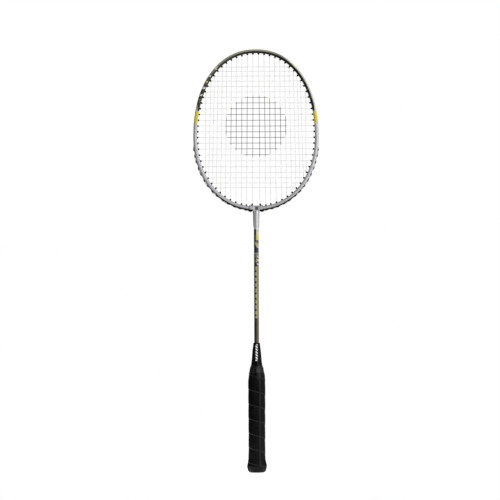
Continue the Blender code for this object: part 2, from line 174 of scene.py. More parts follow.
def put_in_scene(name, data):
    """A new object in the scene."""
    shape = bpy.data.objects.new(name, data)
    bpy.context.scene.collection.objects.link(shape)
    return shape


def coat(shape, material):
    """Give a shape one material."""
    shape.data.materials.clear()
    shape.data.materials.append(material)
    return shape


def shade(data, sharp):
    """Shade a mesh smooth but for edges that bend by more than some degrees."""
    data.shade_smooth()
    data.set_sharp_from_angle(angle=math.radians(sharp))


def mesh_of(name, lofts, layers=None, sharp=40):
    """A mesh made of lofts. A loft is (grid of points [row, column], joined): each row is a ring."""
    corners, faces, start = [], [], 0
    for grid, joined in lofts:
        rows, columns = grid.shape[:2]
        index = start + np.arange(rows * columns).reshape(rows, columns)
        if joined:
            index = np.concatenate([index, index[:1]])
        else:
            faces += [index[0].tolist(), index[-1].tolist()]
        ahead = np.roll(index, -1, axis=1)
        quads = np.stack([index[:-1], ahead[:-1], ahead[1:], index[1:]], axis=-1)
        faces += quads.reshape(-1, 4).tolist()
        corners.append(grid.reshape(-1, 3))
        start += rows * columns
    data = bpy.data.meshes.new(name)
    data.from_pydata(np.concatenate(corners).tolist(), [], faces)
    work = bmesh.new()
    work.from_mesh(data)
    bmesh.ops.recalc_face_normals(work, faces=work.faces)
    work.to_mesh(data)
    work.free()
    shade(data, sharp)
    for layer, values in (layers or {}).items():
        attribute = data.attributes.new(layer, "FLOAT", "POINT")
        attribute.data.foreach_set("value", np.concatenate([v.ravel() for v in values]).astype(np.float32))
    return data


def piece(name, lofts, material, nodes=(), layers=None, sharp=40):
    """A piece made of lofts, mounted on the racket."""
    shape = coat(put_in_scene(name, mesh_of(name, lofts, layers, sharp)), material)
    mount(shape, nodes)


def eased(points, radius, steps=4, least_bend=10):
    """A path with a short curve in place of each corner that bends by more than least_bend degrees."""
    points = [np.asarray(point, float) for point in points]
    path = [points[0]]
    for before, corner, after in zip(points, points[1:], points[2:]):
        back, ahead = before - corner, after - corner
        back_length, ahead_length = np.linalg.norm(back), np.linalg.norm(ahead)
        straight = -(back @ ahead) / (back_length * ahead_length)
        if straight > math.cos(math.radians(least_bend)):
            path.append(corner)
            continue
        start = corner + back * min(radius / back_length, 0.45)
        end = corner + ahead * min(radius / ahead_length, 0.45)
        for step in range(steps + 1):
            share = step / steps
            path.append((1 - share) ** 2 * start + 2 * share * (1 - share) * corner + share**2 * end)
    path.append(points[-1])
    return np.array(path)


def distances(path):
    """How far along a path each of its points lies."""
    return np.concatenate([[0], np.cumsum(np.linalg.norm(np.diff(path, axis=0), axis=1))])


def interpolated(wanted, known, points):
    """The points at some wanted values, from a list of points at known ones."""
    return np.stack([np.interp(wanted, known, column) for column in points.T], axis=-1)


def smooth_through(points, spacing):
    """Evenly spaced points on a smooth curve through some points, measured along the first two numbers."""
    points = np.asarray(points, float)
    padded = np.concatenate([2 * points[:1] - points[1:2], points, 2 * points[-1:] - points[-2:-1]])
    share = np.linspace(0, 1, 24, endpoint=False)[:, None]
    spans = []
    for a, b, c, d in zip(padded, padded[1:], padded[2:], padded[3:]):
        bend = 2 * b + share * (c - a) + share**2 * (2 * a - 5 * b + 4 * c - d)
        spans.append(0.5 * (bend + share**3 * (3 * b - a - 3 * c + d)))
    curve = np.concatenate([*spans, points[-1:]])
    travelled = distances(curve[:, :2])
    wanted = np.linspace(0, travelled[-1], int(travelled[-1] / spacing) + 2)
    return interpolated(wanted, travelled, curve)


def turns(sides):
    """The angles of a ring's points, from the front (-Y) towards +X."""
    return 2 * np.pi * np.arange(sides) / sides


def round_grid(radius, z, angle):
    """A grid of the points at some radii, heights and angles round the upright axis."""
    x = radius * np.sin(angle)
    y = -radius * np.cos(angle)
    return np.stack([x, y, np.broadcast_to(z, x.shape)], axis=-1)


def turned(profile, sides=96):
    """A grid of a (radius, z) profile turned round the upright axis."""
    profile = np.asarray(profile, float)
    return round_grid(profile[:, :1], profile[:, 1:2], turns(sides))


def tube(path, radius, sides):
    """A grid of a round tube along a path of points, with its frame carried along without twist."""
    along = np.gradient(path, axis=0)
    along /= np.linalg.norm(along, axis=1)[:, None]
    side = np.empty_like(path)
    last = np.cross(along[0], (0.0, 1.0, 0.0))
    for i, direction in enumerate(along):
        last = last - direction * (last @ direction)
        last /= np.linalg.norm(last)
        side[i] = last
    other = np.cross(along, side)
    angle = turns(sides)[None, :, None]
    ring = np.cos(angle) * side[:, None] + np.sin(angle) * other[:, None]
    return path[:, None] + np.reshape(radius, (-1, 1, 1)) * ring


def strand(path, radius):
    """The loft of a length of string along a path, and its mesh layer of distances along it."""
    along = np.repeat(distances(path)[:, None], STRING_SIDES, axis=1)
    return [(tube(path, radius, STRING_SIDES), False)], {"along": [along]}


# ---- the hoop's outline and holes


def outline():
    """The hoop's outer edge, its outward directions, fractions of the way round, and inner length."""
    turn = np.linspace(-0.5 * math.pi, 1.5 * math.pi, OUTLINE_POINTS)
    across = np.cos(turn)
    upward = np.sin(turn)
    power = 2 / np.where(upward >= 0, UPPER_ROUNDNESS, LOWER_ROUNDNESS)
    reach = np.where(upward >= 0, HEAD_RISE, HEAD_DROP)
    x = HEAD_HALF_WIDTH * np.sign(across) * np.abs(across) ** power
    z = HEAD_CENTRE_Z + reach * np.sign(upward) * np.abs(upward) ** power
    edge = np.stack([x, z], axis=1)
    along = np.gradient(edge, axis=0)
    along /= np.linalg.norm(along, axis=1)[:, None]
    outward = np.stack([along[:, 1], -along[:, 0]], axis=1)
    inner = edge - HOOP_WIDTH * outward
    travelled = distances(inner)
    return edge, outward, travelled / travelled[-1], travelled[-1]


EDGE, OUTWARD, FRACTION, INNER_LENGTH = outline()


def hoop_place(fractions):
    """Outer-edge (x, z) points and outward directions at fractions of the way round from the bottom."""
    fractions = np.asarray(fractions) % 1
    point, outward = (interpolated(fractions, FRACTION, values) for values in (EDGE, OUTWARD))
    return point, outward / np.linalg.norm(outward, axis=-1, keepdims=True)


def station(number):
    """The fraction of the way round of a boundary between two holes: even but for a slight spread."""
    if number > HALF_HOLES:
        return 1 - station(HOLES - number)
    even = number / HALF_HOLES
    spread = BOTTOM_SPREAD * math.sin(math.pi * even) - CORNER_SPREAD * math.sin(4 * math.pi * even)
    if number == 1:
        spread += SHAFT_SPREAD
    return 0.5 * (even + spread)


def swept(fractions, insets, depths):
    """A grid round the hoop. The section's insets and y depths are [column] or [row, column]."""
    point, outward = hoop_place(fractions)
    shape = (len(fractions), np.shape(insets)[-1])
    insets = np.broadcast_to(insets, shape)
    depths = np.broadcast_to(depths, shape)
    place = point[:, None] - insets[..., None] * outward[:, None]
    return np.stack([place[..., 0], depths, place[..., 1]], axis=-1)


def hole_axes(hole):
    """A grommet hole's (x, z) point on the outer edge, its outward direction and its sideways lean."""
    point, _ = hoop_place([station(hole), station(hole + 1)])
    along = point[1] - point[0]
    along /= np.linalg.norm(along)
    outward = np.array([along[1], -along[0]])
    lean = {0: SPLAY, HOLES - 1: -SPLAY}.get(hole, 0)
    return point.mean(axis=0), outward, lean * along


def barrel_tip(hole):
    """The inset of a grommet barrel's tip. The two beside the shaft are longer, to clear the T-joint."""
    return LONG_BARREL_TIP if hole in (0, HOLES - 1) else BARREL_TIP


def hole_point(hole, inset, y=0.0):
    """A point on a grommet hole's centre line at an inset. The two beside the shaft splay apart."""
    point, outward, lean = hole_axes(hole)
    x, z = point - inset * outward + lean * (1 - inset / barrel_tip(hole))
    return np.array([x, y, z])


def rank(hole):
    """A hole's number counted up from the T-joint on its own side."""
    return min(hole, HOLES - 1 - hole)


# ---- hoop


def hoop_section():
    """The tube's section as (insets, depths): a soft box whose outer side holds the string groove."""
    lip_depth = GROOVE_HALF + GROOVE_LIP
    lip_turn = math.asin((lip_depth / HOOP_HALF_DEPTH) ** (SECTION_ROUNDNESS / 2))
    turn = np.linspace(lip_turn - math.pi, math.pi - lip_turn, 41)
    power = 2 / SECTION_ROUNDNESS
    inset = 0.5 * HOOP_WIDTH * (1 + np.sign(np.cos(turn)) * np.abs(np.cos(turn)) ** power)
    depth = HOOP_HALF_DEPTH * np.sign(np.sin(turn)) * np.abs(np.sin(turn)) ** power
    lip = inset[-1]
    wall = [(lip + 0.3 * GROOVE_LIP, GROOVE_HALF + 0.3 * GROOVE_LIP), (lip + GROOVE_LIP, GROOVE_HALF)]
    wall += [(GROOVE_FLOOR - GROOVE_LIP, GROOVE_HALF), (GROOVE_FLOOR, GROOVE_HALF - GROOVE_LIP)]
    groove = wall + [(far, -y) for far, y in reversed(wall)]
    insets = np.concatenate([inset, [far for far, _ in groove]])
    depths = np.concatenate([depth, [y for _, y in groove]])
    return insets, depths


def make_hoop(material):
    """The hoop's lacquered tube, with how far round and how deep each point lies kept for its paint."""
    insets, depths = hoop_section()
    join = 0.0006 / INNER_LENGTH
    fractions = np.linspace(join, 1 - join, 8 * HOLES + 1)
    grid = swept(fractions, insets, depths)
    around = np.repeat(((fractions - 0.5) * INNER_LENGTH)[:, None], len(insets), axis=1)
    inset = np.repeat(insets[None, :], len(fractions), axis=0)
    layers = {"from_top": [around], "inset": [inset]}
    piece("hoop_lacquered", [(grid, False)], material, ["head_frame"], layers)


# ---- grommets


def head_height(hole):
    """How far a grommet's head stands out from its strip, and half its length along the strip."""
    place = rank(hole)
    if place == 0:
        return SHAFT_HEAD
    if place <= SIDE_STRIPS["bottom"][1]:
        return BOTTOM_HEAD
    return SIDE_HEAD if place <= LAST_PROUD_HOLE else SUNK_HEAD


def strip_base(hole):
    """The inset of a strip's outer face between its heads."""
    place = rank(hole)
    if place > LAST_PROUD_HOLE:
        return 0.0011
    return -0.0007 + 0.0007 * min(place / 10, 1)


def strip_heads(fractions, holes):
    """How far a strip swells out, and its share of widening, as it passes the heads of its holes."""
    swell = np.zeros_like(fractions)
    flange = np.zeros_like(fractions)
    point, _ = hoop_place(fractions)
    for hole in holes:
        height, half_length = head_height(hole)
        x, _, z = hole_point(hole, 0)
        away = np.hypot(point[:, 0] - x, point[:, 1] - z) / half_length
        bump = np.cos(0.5 * np.pi * np.clip(away, 0, 1)) ** 1.2
        swell = np.maximum(swell, height * bump)
        flange = np.maximum(flange, bump if rank(hole) <= LAST_PROUD_HOLE else 0)
    return swell, flange


def strip_grid(first, last):
    """A grid of one strip: a bar along the groove that swells into a head round each hole."""
    holes = range(first, last + 1)
    trim = STRIP_END_GAP / INNER_LENGTH
    by_shaft = STRIP_START_BY_SHAFT / INNER_LENGTH
    begin = max(station(first) + trim, by_shaft - STRIP_NOSE / INNER_LENGTH)
    end = min(station(last + 1) - trim, 1 - by_shaft + STRIP_NOSE / INNER_LENGTH)
    fractions = np.linspace(begin, end, 26 * len(holes))
    middles = [station(hole + 0.5) for hole in holes]
    face = np.interp(fractions, middles, [strip_base(hole) for hole in holes])
    swell, flange = strip_heads(fractions, holes)
    ends = np.minimum(fractions - begin, end - fractions) * INNER_LENGTH
    closing = np.clip(ends / STRIP_ROUNDING, 0, 1)
    closing = np.sqrt(closing * (2 - closing))
    outer = STRIP_BED + (face - swell - STRIP_BED) * (0.35 + 0.65 * closing)
    reach = STRIP_HALF + FLANGE_REACH * flange * closing
    channel = outer + 0.0003
    shelf = np.minimum(0.5 * (STRIP_BED + outer), np.maximum(outer, -0.00005) + 0.0003)
    half = [(STRIP_BED + 0 * outer, STRIP_HALF * 0.92), (STRIP_BED - 0.00015 + 0 * outer, STRIP_HALF)]
    half += [(shelf, STRIP_HALF), (np.minimum(shelf, outer + 0.0006) - 0.0002, reach)]
    half += [(outer + 0.00025, reach), (outer, reach - 0.00035), (outer, 0.0009), (channel, 0.0007)]
    columns = half + [(far, -depth) for far, depth in reversed(half)]
    insets = np.stack([far for far, _ in columns], axis=1)
    depths = np.stack([depth + 0 * outer for _, depth in columns], axis=1)
    return swept(fractions, insets, depths)


def barrel_grid(hole):
    """A grid of one bored barrel, from just outside its head to its rounded tip inside the hoop."""
    _, outward, _ = hole_axes(hole)
    across = np.array([outward[1], 0, -outward[0]])
    top = strip_base(hole) - head_height(hole)[0] + 0.0003
    tip = barrel_tip(hole)
    profile = [(top - 0.0001, 0.00075), (top - 0.00035, 0.0009), (top - 0.0003, 0.00130), (top, 0.00148)]
    profile += [(top + 0.0006, 0.00150), (HOOP_WIDTH - 0.0004, 0.00152), (HOOP_WIDTH + 0.0004, 0.00150)]
    profile += [(tip - 0.0004, 0.00138), (tip - 0.0001, 0.00124), (tip, 0.00104), (tip - 0.00012, 0.00084)]
    profile += [(tip - 0.0005, 0.00072), (top + 0.0005, 0.0007)]
    angle = turns(20)[:, None]
    rows = []
    for inset, radius in profile:
        ring = np.cos(angle) * across + np.sin(angle) * np.array([0.0, 1.0, 0.0])
        rows.append(hole_point(hole, inset) + radius * ring)
    return np.array(rows)


def make_strip(name, first, last, material):
    """One grommet strip with its row of barrels."""
    lofts = [(strip_grid(first, last), False)]
    lofts += [(barrel_grid(hole), True) for hole in range(first, last + 1)]
    piece(f"moulded_{name}", lofts, material, [name], sharp=50)


def make_strips(material):
    """All the grommet strips: a mirrored pair for each place, and one over the top."""
    for place, (first, last) in SIDE_STRIPS.items():
        make_strip(f"grommets_{place}_right", first, last, material)
        make_strip(f"grommets_{place}_left", HOLES - 1 - last, HOLES - 1 - first, material)
    make_strip("grommets_top", *TOP_STRIP, material)


# ---- strings


def string_level(hole):
    """The inset of a string where it runs over a grommet's head."""
    return max(strip_base(hole) - head_height(hole)[0], -0.0017) - 0.0001


def zigzag(runs):
    """The same runs, with every second one turned round."""
    return [run if i % 2 == 0 else run[::-1] for i, run in enumerate(runs)]


def main_runs():
    """The runs of the lengthwise string as (entry hole, exit hole), from the left edge to the right."""
    right = [(main, HALF_HOLES - 1 - main) for main in range(MAINS_PER_SIDE - 1)]
    right.append((MAINS_PER_SIDE - 1, HALF_HOLES - 1 - MAINS_PER_SIDE))
    left = [(HOLES - 1 - bottom, HOLES - 1 - top) for bottom, top in reversed(right)]
    return zigzag(left + right)


def cross_runs():
    """The runs of the crosswise string, from the bottom up, to the right and left in turn."""
    return zigzag([(HOLES - 1 - hole, hole) for hole in range(FIRST_CROSS_HOLE, FIRST_CROSS_HOLE + CROSSES)])


def run_ends(run):
    """The two barrel mouths between which a run of string is stretched."""
    return [hole_point(hole, barrel_tip(hole) - 0.0003) for hole in run]


def crossings(run, others, number):
    """Where a run meets the other string's runs: (share of the way, +1 behind or -1 in front), in order."""
    start, end = run_ends(run)
    found = []
    for i, other in enumerate(others):
        first, last = run_ends(other)
        sides = np.array([[end[0] - start[0], first[0] - last[0]], [end[2] - start[2], first[2] - last[2]]])
        share, other_share = np.linalg.solve(sides, [first[0] - start[0], first[2] - start[2]])
        if 0.004 < share < 0.996 and 0.004 < other_share < 0.996:
            found.append((share, 1 if (i + number) % 2 else -1))
    return sorted(found)


def woven_run(run, others, number, wave, hole_side):
    """Points of one run from mouth to mouth, going over and under the other string in turn."""
    start, end = run_ends(run)
    length = np.linalg.norm(end - start)
    stops = [(0.0, 0), *crossings(run, others, number), (1.0, 0)]
    drift = STRING_DRIFT * math.sin(2.3 * number + 1.1)
    across = np.cross((end - start) / length, (0, 1, 0))
    points = []
    for (near, near_side), (far, far_side) in zip(stops, stops[1:]):
        for step in range(WEAVE_STEPS):
            ease = 0.5 - 0.5 * math.cos(math.pi * step / WEAVE_STEPS)
            share = near + (far - near) * step / WEAVE_STEPS
            edge = max(0.0, 1 - min(share, 1 - share) * length / MOUTH_REACH)
            y = wave * (near_side + (far_side - near_side) * ease) * (1 - edge) + hole_side * edge
            bow = drift * math.sin(math.pi * share)
            points.append(start + share * (end - start) + np.array([0, y, 0]) + bow * across)
    points.append(end + np.array([0, hole_side, 0]))
    return points


def string_path(runs, others, wave, hole_side):
    """The whole path of one string: through each barrel, across the face and over the hoop's outside."""
    points = []
    for number, (entry, leaving) in enumerate(runs):
        points.append(hole_point(entry, string_level(entry), hole_side))
        points += woven_run((entry, leaving), others, number, wave, hole_side)
        points.append(hole_point(leaving, string_level(leaving), hole_side))
    return eased(points, 0.0006)


def make_strings(material):
    """Both strings, woven through each other."""
    mains, crosses = main_runs(), cross_runs()
    for name, runs, others, wave, hole_side in (
        ("main_string", mains, crosses, MAIN_WAVE, -HOLE_SIDE),
        ("cross_string", crosses, mains, -CROSS_WAVE, HOLE_SIDE),
    ):
        lofts, layers = strand(string_path(runs, others, wave, hole_side), STRING_RADIUS)
        piece(f"woven_{name}", lofts, material, [name], layers)


def knot_path(hole, other):
    """The path of a knot at one hole's mouth: turns round the string that leads to the other, and a tail."""
    mouth = hole_point(hole, BARREL_TIP + 0.0004)
    axis = hole_point(other, BARREL_TIP) - mouth
    axis /= np.linalg.norm(axis)
    side = np.cross(axis, (0, 1, 0))
    share = np.linspace(0, 1, 20 * KNOT_TURNS)
    turn = 2 * np.pi * KNOT_TURNS * share
    ring = np.cos(turn)[:, None] * side + np.sin(turn)[:, None] * np.array([0, 1, 0])
    coil = mouth + share[:, None] * KNOT_LENGTH * axis + KNOT_RADIUS * ring
    tail = [coil[-1] + reach * (0.6 * side - 0.8 * axis) for reach in (0.0012, 0.0026)]
    return eased([*coil, *tail], 0.0005)


def make_knots(material):
    """The tie-off knot at each end of both strings."""
    for string, runs in (("main", main_runs()), ("cross", cross_runs())):
        for end, (hole, other) in (("start", runs[0]), ("finish", runs[-1][::-1])):
            lofts, layers = strand(knot_path(hole, other), 0.9 * STRING_RADIUS)
            piece(f"knot_{string}_{end}", lofts, material, layers=layers)


# ---- T-joint and shaft


def boolean(shape, grid, operation):
    """Join the solid inside a grid to a shape, or cut it away."""
    tool = put_in_scene("tool", mesh_of("tool", [(grid, False)]))
    step = shape.modifiers.new("step", "BOOLEAN")
    step.object = tool
    step.operation = operation
    apply_modifiers(shape)
    bpy.data.objects.remove(tool, do_unlink=True)


def apply_modifiers(shape):
    """Turn a shape's modifiers into mesh."""
    graph = bpy.context.evaluated_depsgraph_get()
    data = bpy.data.meshes.new_from_object(shape.evaluated_get(graph), depsgraph=graph)
    shape.modifiers.clear()
    shape.data = data


def soft_box(near, far, half_depth, corner, steps=6):
    """A rounded rectangle's insets and depths."""
    middle = half_depth - corner
    corners = [(far - corner, middle), (near + corner, middle)]
    corners += [(near + corner, -middle), (far - corner, -middle)]
    turn = np.concatenate([0.5 * np.pi * (quarter + np.linspace(0, 1, steps + 1)) for quarter in range(4)])
    centre = np.repeat(corners, steps + 1, axis=0)
    return centre[:, 0] + corner * np.cos(turn), centre[:, 1] + corner * np.sin(turn)


def melt(shape):
    """Even out a shape's surface, so that its edges and inner corners run softly into each other."""
    remesh = shape.modifiers.new("even", "REMESH")
    remesh.mode = "VOXEL"
    remesh.voxel_size = 0.00026
    soften = shape.modifiers.new("soften", "SMOOTH")
    soften.factor = 0.5
    soften.iterations = 7
    apply_modifiers(shape)


def press_dimples(shape):
    """Press a shallow dimple round the pin into the T-joint's front and back."""
    points = np.array([corner.co for corner in shape.data.vertices])
    away = np.hypot(points[:, 0], points[:, 2] - PIN_Z)
    facing = np.clip((np.abs(points[:, 1]) - 0.003) / 0.002, 0, 1)
    points[:, 1] -= np.sign(points[:, 1]) * DIMPLE_DEPTH * np.exp(-((away / DIMPLE_RADIUS) ** 2)) * facing
    shape.data.vertices.foreach_set("co", points.astype(np.float32).ravel())


def turned_across(profile):
    """A grid of a (radius, y) profile turned round the pin's axis, which runs along Y."""
    return turned(profile, 32)[..., [0, 2, 1]] + (0, 0, PIN_Z)


def make_t_joint(material):
    """The T-joint: a sleeve melted into its socket, open below its arms for the grommets."""
    half = SLEEVE_HALF_LENGTH / INNER_LENGTH
    section = soft_box(-SLEEVE_SHELL, HOOP_WIDTH + SLEEVE_SHELL, HOOP_HALF_DEPTH + SLEEVE_SHELL, 0.0034)
    sleeve = swept(np.linspace(-half, half, 15), *section)
    shape = put_in_scene("t_joint_cast", mesh_of("t_joint_cast", [(sleeve, False)]))
    low, high = JOINT_LOW.z, HOOP_LOW.z + 0.0035
    boolean(shape, turned([(0.0047, low), (0.0052, low + 0.018), (0.0058, high)], 64), "UNION")
    melt(shape)
    press_dimples(shape)
    for side in (-1, 1):
        reach = side * np.linspace(0.0051, 0.016, 9) / INNER_LENGTH
        boolean(shape, swept(reach, *soft_box(-0.006, 0.0012, 0.008, 0.0008)), "DIFFERENCE")
    for y in (-1, 1):
        boolean(shape, turned_across([(0.0011, 0.0042 * y), (0.0011, 0.009 * y)]), "DIFFERENCE")
    bore = SHAFT_RADIUS + VISIBLE_GAP
    boolean(shape, turned([(bore, low - 0.001), (bore, low + 0.006)], 64), "DIFFERENCE")
    shade(shape.data, 48)
    coat(shape, material)
    mount(shape, ["t_joint"])


def make_pin(material):
    """The joint's pin, with domed ends down in their recesses."""
    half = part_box("t_joint_pin")[1].y
    dome = [(0.0003, half), (0.00055, half - 0.0001), (0.0008, half - 0.0004)]
    grid = turned_across(dome + [(radius, -y) for radius, y in reversed(dome)])
    piece("domed_pin", [(grid, False)], material, ["t_joint_pin"])


def make_shaft(material):
    """The shaft, a fraction slimmer towards its middle."""
    low, high = SHAFT_LOW.z, SHAFT_HIGH.z
    share = np.linspace(0, 1, 60)
    radius = SHAFT_RADIUS - 0.00012 * np.sin(np.pi * share)
    profile = np.stack([radius, low + share * (high - low)], axis=1)
    piece("lacquered_shaft", [(turned(profile, 64), False)], material, ["shaft"])


# ---- handle


def make_cone(material):
    """The glossy cone: a soft lip round the shaft, a long taper, and a foot inside the grip."""
    low, high = CONE_LOW.z, CONE_HIGH.z
    bore = SHAFT_RADIUS + VISIBLE_GAP
    lip = [(bore, high - 0.004), (bore, high - 0.0003), (bore + 0.0002, high)]
    lip += [(0.0048, high), (0.0051, high - 0.0002)]
    taper = [(0.0053, high - 0.0007), (0.0061, 0.1992), (0.0072, 0.1893)]
    taper += [(0.0079, 0.1802), (0.0086, 0.1744), (0.0092, 0.1704)]
    foot = [(0.0092, 0.1696), (0.0089, 0.1691), (0.0088, 0.1660), (0.0088, low + 0.002)]
    profile = np.concatenate([lip, smooth_through(taper, 0.0006), foot])
    piece("gloss_cone", [(turned(profile), False)], material, ["cone_cap"])


def octagon(angle):
    """How much further than its flats a rounded octagon reaches at each angle."""
    flats = 0.25 * np.pi * np.arange(8)
    facing = np.maximum(np.cos(angle[:, None] - flats[None, :]), 0) ** 26
    return facing.sum(axis=1) ** (-1 / 26)


def wrap_height(angle, z):
    """The wound strip's ledges: each turn starts proud of the last and sinks towards the next."""
    turn = (z - WRAP_SEAM_Z) / WRAP_PITCH + angle / (2 * np.pi)
    share = turn - np.floor(turn)
    rise = np.clip(share / 0.028, 0, 1)
    rise = rise * rise * (3 - 2 * rise)
    crown = 0.00018 * np.sin(np.pi * np.clip((share - 0.03) / 0.9, 0, 1))
    groove = 0.00018 * np.exp(-(((1 - share) / 0.022) ** 2))
    return WRAP_LEDGE * rise * (1 - 0.85 * share) + crown * rise - groove


def grip_outside():
    """The grip's outside as (reach of its flats, z, roundness), rounder at its ends."""
    outside = [(0.0120, 0.0030, 1), (0.0121, 0.0010, 0.9), (0.0127, 0.0006, 0.6), (0.0138, 0.0019, 0.3)]
    outside += [(0.0149, 0.0042, 0.1), (0.0156, 0.0074, 0), (0.01585, 0.0102, 0), (0.0155, 0.0127, 0)]
    outside += [(0.0147, 0.0164, 0), (0.0138, 0.0208, 0), (0.0134, 0.0255, 0), (0.01315, 0.045, 0)]
    outside += [(0.0133, 0.0935, 0), (0.0135, 0.142, 0), (0.0132, 0.149, 0.5), (0.0126, 0.1565, 1)]
    outside += [(0.0114, 0.1612, 1), (0.0099, GRIP_TOP_Z - 0.0006, 1)]
    return smooth_through(outside, 0.00033)


def make_grip(material):
    """The wound grip: a rounded octagon, flared and gathered at the butt, with the wrap's spiral ledges."""
    profile = grip_outside()
    flat, z, roundness = profile[:, :1], profile[:, 1:2], profile[:, 2:3]
    angle = turns(144)
    shape = roundness + (1 - roundness) * octagon(angle)[None, :]
    shown = np.clip((z - 0.004) / 0.010, 0, 1) * np.clip((0.1625 - z) / 0.006, 0, 1)
    ledge = (wrap_height(angle[None, :], z) - 0.00025) * shown
    folds = 0.00022 * np.cos(17 * angle + 0.8 * np.sin(3 * angle))[None, :]
    folds = folds * np.exp(-(((z - 0.0030) / 0.0022) ** 2)) * (flat > 0.0130)
    uneven = 0.00005 * np.sin(3 * angle[None, :] + 90 * z) * np.sin(210 * z + 2 * angle[None, :])
    radius = flat * shape + ledge + folds + uneven * shown
    grid = round_grid(radius, z, angle)
    layers = {"wound": [(z - WRAP_SEAM_Z) / WRAP_PITCH + 0 * angle[None, :]]}
    piece("wound_grip", [(grid, False)], material, ["grip_tape"], layers, sharp=60)


def make_band(material):
    """The finishing tape round the grip's end. Its last edge is a low spiral ledge."""
    low, high = BAND_LOW.z, BAND_HIGH.z
    outside = [(0.0123, low + 0.0002), (0.0119, 0.1600), (0.0114, 0.1624), (0.0109, 0.1655)]
    outside += [(0.0104, 0.1672), (0.0098, 0.1688), (0.0094, high + 0.0021)]
    rim = [(0.0112, low - 0.0002), (0.0122, low)]
    profile = np.concatenate([rim, smooth_through(outside, 0.0004), [(0.0090, high + 0.0024)]])
    angle = turns(120)
    edge = (profile[:, 1:] - low) / (high - low) + angle[None, :] / (2 * np.pi) - 0.9
    step = 0.00013 * np.clip(edge / 0.05, 0, 1)
    inner = np.zeros(len(profile))
    inner[2:-2] = 1
    radius = profile[:, :1] + step * inner[:, None]
    grid = round_grid(radius, profile[:, 1:], angle)
    piece("wound_band", [(grid, False)], material, ["finishing_tape"], sharp=50)


def make_butt_cap(material):
    """The end cap: a shallow dish inside a rounded rim."""
    profile = [(0.0003, 0.0003), (0.0086, 0.0003), (0.0089, 0.00025), (0.0092, 0), (0.0112, 0)]
    profile += [(0.0117, 0.0002), (0.0120, 0.0006), (0.0121, 0.0014), (0.0121, 0.0040)]
    profile += [(0.0060, 0.0042), (0.0058, BUTT_CAP_TOP_Z)]
    grid = turned(eased(profile, 0.0001, 3))
    piece("moulded_butt_cap", [(grid, False)], material, ["butt_cap"])


# ---- materials


def colour(red, green, blue):
    """A linear colour from display values of 0 to 255."""
    return tuple(
        value / 255 / 12.92 if value <= 10 else ((value / 255 + 0.055) / 1.055) ** 2.4
        for value in (red, green, blue)
    ) + (1,)


class Nodes:
    """A material's or a world's node tree, with short ways to add nodes to it."""

    def __init__(self, owner):
        owner.use_nodes = True
        self.tree = owner.node_tree

    def feed(self, socket, value):
        """Link another node's output to a socket, or set its number."""
        if isinstance(value, bpy.types.NodeSocket):
            self.tree.links.new(value, socket)
        else:
            socket.default_value = value

    def node(self, kind, *values, **settings):
        """A new node with some of its settings, and its first inputs fed."""
        made = self.tree.nodes.new("ShaderNode" + kind)
        for name, value in settings.items():
            setattr(made, name, value)
        for socket, value in zip(made.inputs, values):
            self.feed(socket, value)
        return made

    def math(self, operation, *values):
        """The result of a Math node."""
        return self.node("Math", *values, operation=operation).outputs[0]

    def step(self, value, low, high):
        """0 below low, 1 above high, and smooth between."""
        return self.node("MapRange", value, low, high, interpolation_type="SMOOTHSTEP").outputs[0]

    def band(self, value, low, high, soft):
        """1 between low and high, 0 outside them."""
        rising = self.step(value, low - soft, low + soft)
        falling = self.step(value, high - soft, high + soft)
        return self.minus(rising, falling)

    def times(self, first, second):
        """The product of two numbers, or where two masks overlap."""
        return self.math("MULTIPLY", first, second)

    def minus(self, first, second):
        """The difference of two numbers."""
        return self.math("SUBTRACT", first, second)

    def line(self, value, slope, start):
        """A number times a slope, plus a start."""
        return self.math("MULTIPLY_ADD", value, slope, start)

    def patch(self, *bands):
        """Where some bands overlap."""
        mask = self.band(*bands[0])
        for limits in bands[1:]:
            mask = self.times(mask, self.band(*limits))
        return mask

    def mix(self, share, first, second):
        """A blend from the first colour to the second."""
        made = self.node("Mix", share, data_type="RGBA")
        self.feed(made.inputs[6], first)
        self.feed(made.inputs[7], second)
        return made.outputs[2]

    def distance(self, across, upward):
        """The length of a line that goes this far across and this far up."""
        squares = [self.math("POWER", side, 2.0) for side in (across, upward)]
        return self.math("SQRT", self.math("ADD", *squares))

    def spot(self):
        """The point's place in the racket's frame."""
        return self.node("TexCoord").outputs["Object"]

    def place(self):
        """The point's x, y and z in the racket's frame."""
        return self.node("SeparateXYZ", self.spot()).outputs

    def layer(self, name):
        """A number kept in the mesh."""
        return self.node("Attribute", attribute_name=name).outputs["Fac"]

    def noise(self, scale, detail=2.0, stretch=(1, 1, 1)):
        """A smooth random pattern in the racket's frame, with this many features in a metre."""
        mapping = self.node("Mapping", self.spot())
        mapping.inputs["Scale"].default_value = stretch
        made = self.node("TexNoise", mapping.outputs[0])
        made.inputs["Scale"].default_value = scale
        made.inputs["Detail"].default_value = detail
        return made.outputs["Fac"]

    def cells(self, scale):
        """A cell pattern in the racket's frame: the distance to the nearest of many random points."""
        made = self.node("TexVoronoi", self.spot())
        made.inputs["Scale"].default_value = scale
        return made.outputs["Distance"]

    def spread(self, value, low, high):
        """A 0 to 1 pattern stretched to go from low to high."""
        return self.node("MapRange", value, 0.3, 0.7, low, high).outputs[0]


